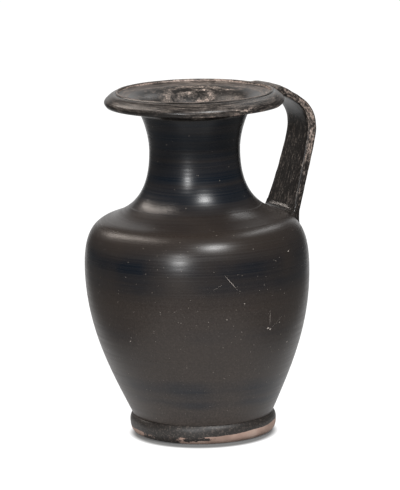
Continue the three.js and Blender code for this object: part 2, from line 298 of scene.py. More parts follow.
# Small pits and specks.
specks, given, out = effect("specks", {"Size": 700.0, "Share": 0.12}, ("Mask",))
cells = node(specks, "ShaderNodeTexVoronoi", Vector=given.outputs["Vector"])
specks.links.new(given.outputs["Size"], cells.inputs["Scale"])
chance = node(specks, "ShaderNodeTexWhiteNoise", Vector=cells.outputs["Position"])
picked = maths(specks, "LESS_THAN", chance.outputs[0], given.outputs["Share"])
near = maths(specks, "LESS_THAN", cells.outputs["Distance"], 0.28)
specks.links.new(maths(specks, "MULTIPLY", picked, near), out.inputs["Mask"])


def new_material(name):
    material = bpy.data.materials.new(name)
    material.use_nodes = True
    tree = material.node_tree
    shader = tree.nodes["Principled BSDF"]
    where = node(tree, "ShaderNodeTexCoord").outputs["Object"]
    return material, tree, shader, where


def finish_surface(tree, shader, colour, roughness, height, strength, distance):
    tree.links.new(colour, shader.inputs["Base Color"])
    tree.links.new(roughness, shader.inputs["Roughness"])
    bump = node(tree, "ShaderNodeBump", Height=height, Strength=strength, Distance=distance)
    tree.links.new(bump.outputs[0], shader.inputs["Normal"])


# The black gloss of body and neck: a fired clay slip, laid on with a brush on the turning wheel, so it is
# banded brown-black and blue-black, with fine lines round it, and speckled where grains broke through.
gloss, tree, shader, where = new_material("black_gloss")
shader.inputs["Specular IOR Level"].default_value = 0.32
brown_black = (0.024, 0.0185, 0.0155)
blue_black = (0.0035, 0.0062, 0.0105)
height_z = node(tree, "ShaderNodeSeparateXYZ", Vector=where).outputs[2]
wander = node(tree, "ShaderNodeTexNoise", Vector=where, Scale=14.0, Detail=2.0).outputs[0]
lines_round = use(tree, wheel_lines, where, Across=5.0, Along=1300.0)
height_share = maths(tree, "DIVIDE", height_z, 0.2)
shifted = maths(tree, "ADD", height_share, maths(tree, "MULTIPLY", wander, 0.05))
blueness = ramp(tree, maths(tree, "SUBTRACT", shifted, 0.025), [
    (0.0, 0.1), (0.105, 0.1), (0.125, 0.8), (0.14, 0.3), (0.165, 1.0), (0.2, 0.1), (0.3, 0.15),
    (0.33, 0.35), (0.36, 0.1), (0.44, 0.15), (0.48, 0.8), (0.545, 1.0), (0.575, 0.35), (0.62, 0.0),
    (0.66, 0.3), (0.7, 1.0), (1.0, 1.0),
])
banded = ramp(tree, lines_round.outputs["Bands"], [(0.3, 0.45), (0.62, 1.0)])
patchy = maths(tree, "MULTIPLY", blueness, banded)
brushed = node(tree, "ShaderNodeTexNoise", Vector=where, Scale=22.0, Detail=2.0).outputs[0]
above_belly = ramp(tree, height_share, [(0.62, 0.0), (0.68, 1.0)])
brushed = maths(tree, "MAXIMUM", ramp(tree, brushed, [(0.4, 0.25), (0.58, 1.0)]), above_belly)
patchy = maths(tree, "MULTIPLY", patchy, brushed)
base = blend_colours(tree, patchy, brown_black, blue_black)
lined = blend_colours(tree, ramp(tree, lines_round.outputs["Lines"], [(0.45, 0.0), (0.75, 0.4)]), base,
                      (0.028, 0.025, 0.023))
dust_low = ramp(tree, height_share, [
    (0.058, 0.6), (0.08, 0.45), (0.15, 0.36), (0.25, 0.26), (0.4, 0.26), (0.5, 0.06), (1.0, 0.03),
])
dust = node(tree, "ShaderNodeTexNoise", Vector=where, Scale=900.0, Detail=4.0, Roughness=0.7).outputs[0]
dusty = maths(tree, "MULTIPLY", dust_low, ramp(tree, dust, [(0.42, 0.25), (0.68, 0.85)]))
dusty = maths(tree, "MULTIPLY", dusty, maths(tree, "SUBTRACT", 1.0, maths(tree, "MULTIPLY", patchy, 0.4)))
dust_colour = blend_colours(tree, patchy, (0.115, 0.092, 0.078), (0.03, 0.042, 0.065))
dusted = blend_colours(tree, dusty, lined, dust_colour)
grain = use(tree, specks, where, Size=850.0, Share=0.012).outputs[0]
fine_grain = use(tree, specks, where, Size=1500.0, Share=0.05).outputs[0]
low_down = ramp(tree, height_share, [(0.3, 0.5), (0.6, 0.12)])
speckled = blend_colours(tree, maths(tree, "MULTIPLY", grain, 0.6), dusted, (0.16, 0.14, 0.12))
speckled = blend_colours(tree, maths(tree, "MULTIPLY", fine_grain, low_down), speckled, (0.13, 0.115, 0.1))
streaky = ramp(tree, lines_round.outputs["Lines"], [(0.3, 0.24), (0.7, 0.36)])
rough = maths(tree, "ADD", streaky, maths(tree, "MULTIPLY", dusty, 0.4))
finish_surface(tree, shader, speckled, rough, lines_round.outputs["Lines"], 0.2, 0.00005)


def dress(piece, material):
    piece.data.materials.clear()
    piece.data.materials.append(material)


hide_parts("body")
dress(body, gloss)

# Knocks and scratches on the body: shallow chips and lines where the gloss is gone and the clay shows.
# Each is a thin patch that lies on the wall. Angles are from the middle of the photographed side.
photographed_side = math.radians(-121)
chip_corners = 11
belly_reach = 60
chips = [
    # (angle in degrees, height and size in millimetres)
    (55, 111.5, 1.3), (35.5, 95.5, 0.6), (24, 86, 0.9), (14.5, 77.5, 0.9), (39, 69.5, 1.8), (40.5, 68.5, 1.6),
    (47, 71.5, 0.9), (57, 58, 1.5), (73.5, 108, 1.2), (8.5, 105.5, 0.5), (-38.5, 101, 0.5), (-40, 63, 1.0),
]
scratches = [
    # from (angle, height) to (angle, height), and width in millimetres
    ((14, 103), (20.5, 94), 0.36), ((7.5, 95), (13, 98.5), 0.16), ((39.5, 80), (40, 70.5), 0.24),
    ((41, 69), (49, 75.5), 0.18), ((-13, 82), (-11, 83.5), 0.3),
]
patch_lift = 0.06


def on_wall(degrees, z):
    """A place just outside the wall: distance from the axis, angle and height."""
    degrees, z = np.broadcast_arrays(degrees, z)
    rho = np.interp(z, wall_outside[:, 1], wall_outside[:, 0])
    angle = photographed_side + np.radians(degrees)
    return rho + body_wobble(angle, z) + patch_lift, angle, z


patch_corners = []
patch_faces = []
for index, (degrees, z, size) in enumerate(chips):
    first = len(patch_corners)
    patch_corners.append(stand(*on_wall(degrees, z)))
    for k in range(chip_corners):
        turn = k * 2 * math.pi / chip_corners
        reach = size / 2 * (0.75 + 0.5 * noise.noise(Vector((index * 3.1, math.cos(turn), math.sin(turn)))))
        sideways = math.degrees(reach * math.cos(turn) / belly_reach)
        patch_corners.append(stand(*on_wall(degrees + sideways, z + reach * 0.8 * math.sin(turn))))
    patch_faces += [(first, first + 1 + k, first + 1 + (k + 1) % chip_corners) for k in range(chip_corners)]
steps = 24
for index, (low_end, high_end, width) in enumerate(scratches):
    first = len(patch_corners)
    for k in range(steps + 1):
        t = k / steps
        degrees = low_end[0] + (high_end[0] - low_end[0]) * t + 0.12 * noise.noise(Vector((t * 6, index, 2)))
        z = low_end[1] + (high_end[1] - low_end[1]) * t
        half = width / 2 * math.sin(math.pi * min(1, 0.08 + t * 0.9)) * (
            0.7 + 0.6 * noise.noise(Vector((t * 14, index, 5)))
        )
        for side in (-1, 1):
            patch_corners.append(stand(*on_wall(degrees + math.degrees(side * half / belly_reach), z)))
    patch_faces += [
        (first + 2 * k, first + 2 * k + 1, first + 2 * k + 3, first + 2 * k + 2) for k in range(steps)
    ]
marks = make_piece("body_chips", patch_corners, patch_faces)
bare_clay, tree, shader, where = new_material("bare_clay")
mottle = node(tree, "ShaderNodeTexNoise", Vector=where, Scale=900.0, Detail=4.0).outputs[0]
colour = ramp(tree, mottle, [(0.35, (0.15, 0.125, 0.11)), (0.65, (0.46, 0.41, 0.37))])
finish_surface(tree, shader, colour, ramp(tree, mottle, [(0.3, 0.7), (0.7, 0.9)]), mottle, 0.3, 0.0001)
dress(marks, bare_clay)

# Grit: small light grains of stone in the clay, which stand through the gloss. They are strewn by chance
# over the outer wall of the body, each a little flattened and sunk in it.
grit_rule = bpy.data.node_groups.new("strewn_grit", "GeometryNodeTree")
for key, kind in (
    ("Geometry", "NodeSocketGeometry"), ("Density", "NodeSocketFloat"), ("Seed", "NodeSocketInt"),
    ("Smallest", "NodeSocketFloat"), ("Largest", "NodeSocketFloat"), ("Grain", "NodeSocketObject"),
    ("Finish", "NodeSocketMaterial"),
):
    grit_rule.interface.new_socket(key, in_out="INPUT", socket_type=kind)
grit_rule.interface.new_socket("Geometry", in_out="OUTPUT", socket_type="NodeSocketGeometry")
given = grit_rule.nodes.new("NodeGroupInput").outputs
out = grit_rule.nodes.new("NodeGroupOutput").inputs
strewn = node(grit_rule, "GeometryNodeDistributePointsOnFaces", Mesh=given["Geometry"],
              Density=given["Density"], Seed=given["Seed"])
size = node(grit_rule, "FunctionNodeRandomValue")
for key, value in (("Min", given["Smallest"]), ("Max", given["Largest"]), ("Seed", given["Seed"])):
    grit_rule.links.new(value, size.inputs[key])
one_grain = node(grit_rule, "GeometryNodeObjectInfo", Object=given["Grain"])
placed = node(grit_rule, "GeometryNodeInstanceOnPoints", Points=strewn.outputs["Points"],
              Instance=one_grain.outputs["Geometry"], Rotation=strewn.outputs["Rotation"])
grit_rule.links.new(size.outputs["Value"], placed.inputs["Scale"])
made_real = node(grit_rule, "GeometryNodeRealizeInstances", Geometry=placed.outputs[0])
finished = node(grit_rule, "GeometryNodeSetMaterial", Geometry=made_real.outputs[0], Material=given["Finish"])
grit_rule.links.new(finished.outputs[0], out["Geometry"])

grain_shape = bmesh.new()
bmesh.ops.create_icosphere(grain_shape, subdivisions=1, radius=0.32 * MM)
for corner in grain_shape.verts:
    corner.co *= 1 + 0.25 * noise.noise(corner.co / MM * 5)
    corner.co.z *= 0.35
grain_mesh = bpy.data.meshes.new("one_grain")
grain_shape.to_mesh(grain_mesh)
grain_shape.free()
one_grain_object = bpy.data.objects.new("one_grain", grain_mesh)

sheet_turns = 72
outer_rows = np.linspace(14, 128, 58)
sheet_degrees = np.arange(sheet_turns) * 360 / sheet_turns
sheet_corners = np.vstack([stand(*on_wall(sheet_degrees, z)) for z in outer_rows])
sheet_faces = [
    (i * sheet_turns + j, i * sheet_turns + (j + 1) % sheet_turns,
     (i + 1) * sheet_turns + (j + 1) % sheet_turns, (i + 1) * sheet_turns + j)
    for i in range(len(outer_rows) - 1) for j in range(sheet_turns)
]
sheet_mesh = bpy.data.meshes.new("outer_wall_sheet")
sheet_mesh.from_pydata([tuple(corner) for corner in sheet_corners], [], sheet_faces)
sheet = bpy.data.objects.new("outer_wall_sheet", sheet_mesh)
bpy.context.scene.collection.objects.link(sheet)
strewing = sheet.modifiers.new("strewn_grit", "NODES")
strewing.node_group = grit_rule
identifiers = {
    item.name: item.identifier for item in grit_rule.interface.items_tree if item.in_out == "INPUT"
}
for key, value in (("Density", 5500.0), ("Seed", 11), ("Smallest", 0.25), ("Largest", 0.7),
                   ("Grain", one_grain_object), ("Finish", bare_clay)):
    strewing[identifiers[key]] = value
bpy.context.view_layer.update()
strewn_mesh = bpy.data.meshes.new_from_object(sheet.evaluated_get(bpy.context.evaluated_depsgraph_get()))
sheet.modifiers.clear()
bpy.data.objects.remove(sheet)
bpy.data.objects.remove(one_grain_object)
grit = bpy.data.objects.new("body_grit", strewn_mesh)
bpy.context.scene.collection.objects.link(grit)
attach(grit, "root")

# Neck: thrown apart from the same clay and luted on the shoulder, hollow in outline. Its gloss is the
# blackest of the jug outside, and is worn in the throat, as the lip's is.
neck_outer = even(stretch(wall_outside, body_joint_height, mouth_joint[1]), 0.5)
neck_inner = even(stretch(wall_inside, body_joint_height, mouth_joint[1]), 1.2)[::-1]
neck_outline = joined(neck_outer, neck_inner, [neck_outer[0]])


def neck_relief(rho, angle, z):
    ends = np.clip((z - body_joint_height) / 6, 0, 1) * np.clip((mouth_joint[1] - z) / 4, 0, 1)
    rills = 0.03 * np.sin(z * 2 * math.pi / 2.3) + 0.025 * np.sin(z * 2 * math.pi / 5.1 + angle)
    return rho + ends * rills * 0.4, z


neck_piece = thrown("neck_wall", neck_outline, 256, neck_relief)
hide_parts("neck")
dress(neck_piece, gloss)


def paint(piece, name, values):
    layer = piece.data.attributes.new(name, "FLOAT", "POINT")
    layer.data.foreach_set("value", np.clip(np.asarray(values, np.float32), 0, 1))


def paint_grain(piece, vectors):
    """The direction that streaks follow: a place in a space that is squeezed along them."""
    layer = piece.data.attributes.new("grain", "FLOAT_VECTOR", "POINT")
    layer.data.foreach_set("vector", np.asarray(vectors, np.float32).ravel())


def round_axis(piece):
    """Each corner's distance from the bowed axis, its angle and its height, in millimetres."""
    places = np.empty(len(piece.data.vertices) * 3)
    piece.data.vertices.foreach_get("co", places)
    x, y, z = places.reshape(-1, 3).T / MM
    x = x - axis_x - bow(z) * math.cos(lean_direction)
    y = y - axis_y - bow(z) * math.sin(lean_direction)
    return np.hypot(x, y), np.arctan2(y, x), z


# The worn gloss of lip and handle: rubbed through to grey-brown and pinkish clay, with black left in flakes
# and streaks that follow the wheel round the lip and run along the strap.
# The wear attribute also carries painted light: painted highlights on the lip's crest and the handle's near
# corner, a painted sheen on the ledge and painted shade in the lip's groove.
worn, tree, shader, where = new_material("worn_gloss")
shader.inputs["Specular IOR Level"].default_value = 0.35
grain = node(tree, "ShaderNodeAttribute", attribute_name="grain").outputs["Vector"]
edge = node(tree, "ShaderNodeAttribute", attribute_name="wear_and_painted_light").outputs["Fac"]
streaks = node(tree, "ShaderNodeTexNoise", Vector=grain, Scale=1.0, Detail=7.0, Roughness=0.68).outputs[0]
ragged = node(tree, "ShaderNodeTexNoise", Vector=where, Scale=800.0, Detail=6.0, Roughness=0.7).outputs[0]
patches = node(tree, "ShaderNodeTexNoise", Vector=where, Scale=55.0, Detail=4.0, Roughness=0.6).outputs[0]
uneven = maths(tree, "ADD", maths(tree, "MULTIPLY", streaks, 1.2), maths(tree, "MULTIPLY", ragged, 0.75))
uneven = maths(tree, "ADD", uneven, maths(tree, "MULTIPLY", patches, 0.25))
rag = node(tree, "ShaderNodeAttribute", attribute_name="rag").outputs["Fac"]
unevenness = maths(tree, "ADD", maths(tree, "MULTIPLY", rag, 3.2), 0.8)
contrast = maths(tree, "MULTIPLY", maths(tree, "SUBTRACT", uneven, 1.1), unevenness)
wear_and_painted_light = maths(tree, "SUBTRACT", maths(tree, "ADD", edge, contrast), 0.4)
rubbed = maths(tree, "MULTIPLY", maths(tree, "ADD", wear_and_painted_light, 0.2), 2.0, clamp=True)
through = maths(tree, "MULTIPLY", maths(tree, "SUBTRACT", wear_and_painted_light, 0.3), 4.0, clamp=True)
black = blend_colours(tree, streaks, (0.007, 0.006, 0.0055), (0.022, 0.019, 0.017))
light_streak = ramp(tree, streaks, [(0.4, 0.0), (0.6, 1.0)])
grey_brown = blend_colours(tree, light_streak, (0.045, 0.036, 0.031), (0.15, 0.125, 0.108))
bare_tone = ramp(tree, ragged, [(0.38, 0.0), (0.62, 1.0)])
bare = blend_colours(tree, bare_tone, (0.14, 0.085, 0.072), (0.42, 0.34, 0.29))
mixed = blend_colours(tree, through, blend_colours(tree, rubbed, black, grey_brown), bare)
pits = use(tree, specks, where, Size=1300.0, Share=0.045).outputs[0]
pitted = blend_colours(tree, maths(tree, "MULTIPLY", pits, rag), mixed, (0.28, 0.24, 0.21))
rough = maths(tree, "ADD", maths(tree, "MULTIPLY", maths(tree, "ADD", rubbed, rag), 0.2), 0.25)
relief_height = maths(tree, "SUBTRACT", maths(tree, "MULTIPLY", streaks, 0.6), through)
finish_surface(tree, shader, pitted, rough, relief_height, 0.5, 0.00015)

neck_piece.data.materials.append(worn)
rho, angle, z = round_axis(neck_piece)
inside_throat = (rho < np.interp(z, wall_outside[:, 1], wall_outside[:, 0]) - wall_thickness / 2) * (z > 150)
for face in neck_piece.data.polygons:
    if all(inside_throat[corner] for corner in face.vertices):
        face.material_index = 1
paint(neck_piece, "wear_and_painted_light", 0.3 * inside_throat)
paint(neck_piece, "rag", 0.5 * inside_throat)
paint_grain(neck_piece, np.stack([rho * np.cos(angle) / 6, rho * np.sin(angle) / 6, z / 0.6], 1))

# Slip between body and neck: wet clay that luted the two, fired to a thin ring in the thickness of the
# wall. The gloss covers it outside, so it ends a little inside the surface.
slip_low, slip_high = (corner[2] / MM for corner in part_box("neck_slip"))
slip_out = float(np.interp(body_joint_height, wall_outside[:, 1], wall_outside[:, 0])) - 0.5
slip_in = slip_out - wall_thickness + 1.2
slip_section = [
    (slip_in, slip_low), (slip_out, slip_low), (slip_out, slip_high), (slip_in, slip_high),
    (slip_in, slip_low),
]
slip_ring = thrown("neck_slip_ring", np.array(slip_section), 96, lambda rho, angle, z: (rho, z))

# The fired slip in the joints: matt and grey-brown.
slip, tree, shader, where = new_material("slip")
mottle = node(tree, "ShaderNodeTexNoise", Vector=where, Scale=200.0, Detail=6.0).outputs[0]
colour = ramp(tree, mottle, [(0.3, (0.03, 0.025, 0.022)), (0.7, (0.075, 0.06, 0.05))])
rough = ramp(tree, mottle, [(0.3, 0.5), (0.7, 0.7)])
finish_surface(tree, shader, colour, rough, mottle, 0.3, 0.0001)

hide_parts("neck_slip")
dress(slip_ring, slip)

# Mouth: a thrown ring of the same clay, luted on the neck, with a wide turned lip. Its outer slope ends in
# a shallow groove and a thin raised crest, and inside it a ledge runs down into the funnel. The gloss is
# worn on the crest and the lowest edge, flaked at the left and pitted at the right. The crest is also painted
# light as a painted highlight, the ledge grey as a painted sheen, and the groove dark as painted shade.
lip_edge = (50.5, 191.2)
lip_widest = (51.8, 193.4)
crest_height = 199.5
mouth_throat = (float(np.interp(mouth_joint[1], wall_inside[:, 1], wall_inside[:, 0])), mouth_joint[1])
crest_radius = 44.7
lip_run = joined(
    curve(mouth_joint, towards(mouth_joint, 65, 3.4), towards(lip_edge, 182, 12), lip_edge, 40),
    curve(lip_edge, towards(lip_edge, 45, 0.9), (lip_widest[0], lip_widest[1] - 0.9), lip_widest, 10),
    curve(lip_widest, (51.8, 194.6), (50.9, 195.4), (49.8, 196.4), 12),
    curve((49.8, 196.4), (48.6, 197.5), (47.7, 198.2), (46.7, 198.5), 10),
    curve((46.7, 198.5), (46.0, 198.6), (45.9, 198.5), (45.7, 198.7), 6),
    curve((45.7, 198.7), (45.5, 199.2), (45.2, crest_height), (crest_radius, crest_height), 7),
    curve((crest_radius, crest_height), (44.2, 199.5), (43.9, 199.1), (43.8, 198.3), 7),
    curve((43.8, 198.3), (43.7, 197.6), (41, 197.3), (38, 196.5), 14),
    curve((38, 196.5), (33, 195.1), towards(mouth_throat, 65, 5), mouth_throat, 30),
)
mouth_outline = joined(even(lip_run, 0.4), [mouth_joint])


def mouth_relief(rho, angle, z):
    lip = np.clip((rho - 36) / 8, 0, 1)
    worn_down = 0.16 * waves(angle, z, 2.1, stretch=3, height=9.0) + 0.08 * waves(angle, z, 5.7, stretch=9)
    return rho + lip * worn_down * (z > lip_edge[1] - 1), z + lip * 0.08 * waves(angle, z, 0.6, stretch=5)


def from_photographed_side(angle):
    return (angle - photographed_side + math.pi) % (2 * math.pi) - math.pi


mouth = thrown("mouth_lip", mouth_outline, 384, mouth_relief)
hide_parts("mouth")
dress(mouth, worn)
rho, angle, z = round_axis(mouth)
from_front = from_photographed_side(angle)
to_right = np.clip(np.sin(from_front), 0, 1)
to_left = np.clip(-np.sin(from_front), 0, 1)
# The crest is painted light, partly as wear and partly as a painted highlight along its edge.
crest_wear_and_highlight = np.exp(-((rho - crest_radius) ** 2) / 0.9) * (z > 198.3)
# The groove is painted darker as painted shade in it.
groove_painted_shade = np.exp(-((rho - 46.1) ** 2) / 0.2) * (z > 198)
groove_shoulder = np.exp(-((rho - 47.0) ** 2) / 0.25) * (z > 197)
on_slope = np.clip((rho - 46) / 2, 0, 1) * (z > 193.2)
# The ledge is painted lighter grey-brown, partly as wear and partly as a painted sheen.
ledge_wear_and_sheen = (rho < 44) * (rho > 38) * (z > 194)
in_funnel = (rho < 38) * (z > 187) * (z < 197.5)
under_lip = (rho > 40) * (z <= 193.2)
lowest_edge = np.exp(-((rho - 50.6) ** 2 + (z - 191.6) ** 2) / 1.2)
back_patch = in_funnel * np.exp(-((np.abs(from_front) - 2.95) ** 2) / 0.5)
on_left = np.clip((from_front + 1.7) / 0.3, 0, 1) * np.clip((-0.1 - from_front) / 0.3, 0, 1)
flaked_left = np.exp(-((z - 192.7) ** 2) / 1.1) * (rho > 49.6) * on_left
pitted_right = np.exp(-((from_front - 0.63) ** 2) / 0.02) * (rho > 49) * (z > 191) * (z < 195)
bared_front_edge = np.clip(from_front + 0.2, 0, 0.4) / 0.4 * (from_front < 1.6)
level = (0.34 - 0.04 * to_left) * on_slope + 0.6 * ledge_wear_and_sheen + 0.2 * in_funnel + 0.22 * back_patch
level = level + 0.3 * under_lip + 0.75 * crest_wear_and_highlight + 0.3 * groove_shoulder - 0.15 * groove_painted_shade
level = level - 0.5 * flaked_left + 0.25 * pitted_right
level = level + lowest_edge * (0.5 * bared_front_edge + 0.05 * to_left)
ragged_places = 0.14 * on_slope + 0.05 * ledge_wear_and_sheen + 0.12 * in_funnel + 0.6 * back_patch + 0.35 * under_lip
ragged_places = ragged_places + 0.3 * flaked_left + 0.7 * pitted_right + 0.15 * to_right * on_slope
paint(mouth, "wear_and_painted_light", level)
paint(mouth, "rag", ragged_places)
turning = np.stack([rho * np.cos(angle) / 9, rho * np.sin(angle) / 9, (rho - z) / 1.1], 1)
paint_grain(mouth, turning)

# Foot: a turned ring luted under the body. Its side is left reserved in pinkish clay below, with the
# gloss's lower edge and ragged remains on it, and dusty black gloss above.
foot_outline = joined(
    [(33, 0), (38.4, 0)],
    curve((38.4, 0), (42.0, 0.5), (42.5, 3.6), (42.5, foot_widest), 24),
    curve((42.5, foot_widest), (42.5, 9.0), (41.6, 10.5), (40.75, 11.15), 14),
    [(29.6, 11.15)],
    curve((29.6, 11.15), (29.6, 5.4), (31.8, 3.6), (33, 0), 14),
)


def foot_relief(rho, angle, z):
    side = np.clip(z / 2, 0, 1) * (rho > 36)
    return rho + side * 0.18 * waves(angle, z, 3.4, stretch=4, height=7.0), z


remains_place = (-3.15, -2.2, -1.5, -1.0, -0.72, -0.45, -0.33, -0.2, 0.0, 0.2, 1.6, 3.15)
remains_share = (0.15, 0.25, 0.32, 0.34, 0.44, 0.46, 0.38, 0.27, 0.08, 0.02, 0.02, 0.15)
foot = thrown("foot_ring", even(foot_outline, 0.45), 320, foot_relief)

# The reserved clay of the foot: pinkish-brown, matt, with irregular black remains of gloss.
clay, tree, shader, where = new_material("reserved_clay")
tone = ramp(tree, node(tree, "ShaderNodeTexNoise", Vector=where, Scale=90.0, Detail=7.0).outputs[0],
            [(0.3, (0.23, 0.155, 0.12)), (0.55, (0.35, 0.24, 0.195)), (0.75, (0.42, 0.315, 0.26))])
left_black = node(tree, "ShaderNodeAttribute", attribute_name="black").outputs["Fac"]
ragged = node(tree, "ShaderNodeTexNoise", Vector=where, Scale=150.0, Detail=8.0, Roughness=0.7).outputs[0]
covered = maths(tree, "MULTIPLY", maths(tree, "SUBTRACT", maths(tree, "ADD", left_black, ragged), 0.98), 14.0,
                clamp=True)
dust = node(tree, "ShaderNodeTexNoise", Vector=where, Scale=900.0, Detail=4.0, Roughness=0.7).outputs[0]
dusty_black = blend_colours(tree, ramp(tree, dust, [(0.52, 0.0), (0.72, 0.8)]), (0.014, 0.0115, 0.01),
                            (0.13, 0.105, 0.09))
colour = blend_colours(tree, covered, tone, dusty_black)
rough = maths(tree, "SUBTRACT", 0.8, maths(tree, "MULTIPLY", covered, 0.3))
finish_surface(tree, shader, colour, rough, ragged, 0.3, 0.0002)

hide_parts("foot")
dress(foot, clay)
rho, angle, z = round_axis(foot)
from_front = from_photographed_side(angle)
to_right = np.clip(1.3 * np.sin(from_front) - 0.25, 0, 1)
remains = np.interp(from_front, remains_place, remains_share)
gloss_edge = 4.7 + 2.4 * to_right + 0.3 * np.sin(3 * from_front + 1) + 0.2 * np.sin(11 * from_front)
above_edge = np.clip((z - gloss_edge) / 0.5 + 0.5, 0, 1)
front_remains = 0.42 * np.exp(-((from_front + 0.02) ** 2) / 0.05) * np.exp(-((z - 3.4) ** 2) / 3)
paint(foot, "black", 0.14 + 0.75 * above_edge + remains * (1 - above_edge) + front_remains)

# Handle: a strap pulled from a roll of clay, bent over from the lip and pressed on to the shoulder. Its
# edges are worn to the clay, the near one lighter still as a painted highlight, and its inner face keeps a
# mottled brown-black gloss with streaks along it.
strap_start = (46.2, 196.7)
strap_furthest = (72.7, 171.7)
root_radius = 58.2
root_slope = 18.5
outer_fullness = (  # the run along the strap, and how far the outer face stands out there
    (0, 3, 7, 14, 20, 30, 40, 55, 75, 95, 110), (0, 0.7, 0.3, -0.5, -0.3, 1.0, 1.5, 1.4, 1.0, 0.5, 0),
)
shoulder_part = wall_outside[wall_outside[:, 1] >= belly[1]]


def shoulder_height(rho):
    return np.interp(rho, shoulder_part[::-1, 0], shoulder_part[::-1, 1])


strap_root = (root_radius, float(shoulder_height(root_radius)))
strap_line = even(joined(
    curve(strap_start, towards(strap_start, -13, 18.8), (strap_furthest[0], strap_furthest[1] + 12.8),
          strap_furthest, 120),
    curve(strap_furthest, (strap_furthest[0], strap_furthest[1] - 7.1),
          towards(strap_root, 90 - root_slope, 8), strap_root, 120),
    [towards(strap_root, -90 - root_slope, 3.4)],
), 0.6)
strap_along = np.gradient(strap_line, axis=0)
strap_along /= np.hypot(*strap_along.T)[:, None]
strap_run = np.r_[0, np.cumsum(np.hypot(*np.diff(strap_line, axis=0).T))]
strap_length = strap_run[-1]


def strap_width(run):
    near_rim = np.clip(1 - run / 22, 0, 1) ** 2
    near_root = np.clip(1 - (strap_length - run) / 60, 0, 1) ** 2
    return 23.8 + 8.2 * near_rim + 9.2 * near_root


def strap_thickness(run):
    thin_start = 1 - 0.35 * np.clip(1 - run / 4, 0, 1) ** 2
    return (5.4 - 0.6 * run / strap_length) * thin_start


def strap_section(width, thickness, count=64):
    """Points round the strap: across its width and out from its middle line, rounded at the corners."""
    turn = np.arange(count) * 2 * math.pi / count
    across = np.sign(np.cos(turn)) * np.abs(np.cos(turn)) ** 0.32
    out = np.sign(np.sin(turn)) * np.abs(np.sin(turn)) ** 0.42
    crown = 0.5 * (1 - across**2) * (out > 0) - 0.25 * (1 - across**2) * (out < 0)
    return across * width / 2, out * thickness / 2 + crown * 0.6


strap_rows = []
strap_wear_and_highlight = []
strap_rag = []
strap_grain = []
for line, along, run in zip(strap_line, strap_along, strap_run):
    across, out = strap_section(strap_width(run), strap_thickness(run))
    rough_out = np.array([
        0.1 * noise.noise(Vector((run / 9, a / 2.2, 3.1))) + 0.16 * noise.noise(Vector((run / 5, a / 5, 7.7)))
        for a in across
    ])
    pit = np.array([noise.noise(Vector((run / 1.7, a / 1.3, o / 2 + 40))) for a, o in zip(across, out)])
    out = out + np.sign(out) * (rough_out - 0.22 * np.clip(pit - 0.35, 0, 1))
    out = out + (out > 0) * np.interp(run, outer_fullness[0], outer_fullness[1])
    to_side = np.abs(across) / strap_width(run) * 2
    corner = np.clip((to_side - 0.86) / 0.14, 0, 1)
    outer_face = (out > 0) * (1 - corner)
    nearer = across < 0
    bared = np.clip((run - 12) / 16, 0, 1) * np.clip((62 - run) / 10, 0, 1)
    by_rim = np.clip((22 - run) / 12, 0, 1)
    crease = np.exp(-((to_side - 0.88) ** 2) / 0.002) * nearer * (out < 0) * bared
    # The near corner is painted light, partly as wear and partly as a painted highlight along it.
    corner_wear_and_highlight = corner * (0.1 + 0.44 * nearer * bared)
    strap_wear_and_highlight.append(0.13 + 0.31 * outer_face + 0.14 * by_rim + corner_wear_and_highlight - 0.3 * crease)
    strap_rag.append(0.4 + 0.4 * corner * nearer - 0.15 * by_rim * (1 - corner) - 0.1 * outer_face)
    strap_grain.append(np.stack([np.full_like(across, run / 4.5), across, out + 30], 1))
    rho = line[0] - along[1] * out
    strap_rows.append(np.stack([
        axis_x + bow(line[1]) * math.cos(lean_direction) + rho,
        axis_y + bow(line[1]) * math.sin(lean_direction) + across,
        line[1] + along[0] * out,
    ], 1) * MM)


def skinned(name, rows, closed_ends=True):
    count = len(rows[0])
    corners = np.vstack(rows)
    faces = []
    for i in range(len(rows) - 1):
        for j in range(count):
            k = (j + 1) % count
            faces.append((i * count + j, i * count + k, (i + 1) * count + k, (i + 1) * count + j))
    if closed_ends:
        faces.append(tuple(range(count)))
        faces.append(tuple(range((len(rows) - 1) * count, len(rows) * count)))
    return make_piece(name, corners, faces)


handle = skinned("handle_strap", strap_rows)
paint(handle, "wear_and_painted_light", np.concatenate(strap_wear_and_highlight))
paint(handle, "rag", np.concatenate(strap_rag))
paint_grain(handle, np.vstack(strap_grain))
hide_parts("handle")
dress(handle, worn)

# Root of the handle: clay and slip that were smeared out from the strap on to the shoulder with a finger,
# so they end in soft ridges. The gloss covers them thinly.
flange_rise = 5.6
flange_spread = 3.0
root_row = int(np.argmin(np.hypot(*(strap_line - np.array(strap_root)).T)))
down = np.array(towards((0, 0), -90 - root_slope, 1))
root_width = strap_width(strap_run[root_row])
root_depth = 4.8
across, out = strap_section(root_width, strap_thickness(strap_run[root_row]))
flange_rows = [[] for _ in range(20)]


def on_shoulder(out_from_axis, side):
    """The height of the shoulder's surface at a place near the root."""
    return float(shoulder_height(min(math.hypot(out_from_axis, side), belly[0] - 0.1)))


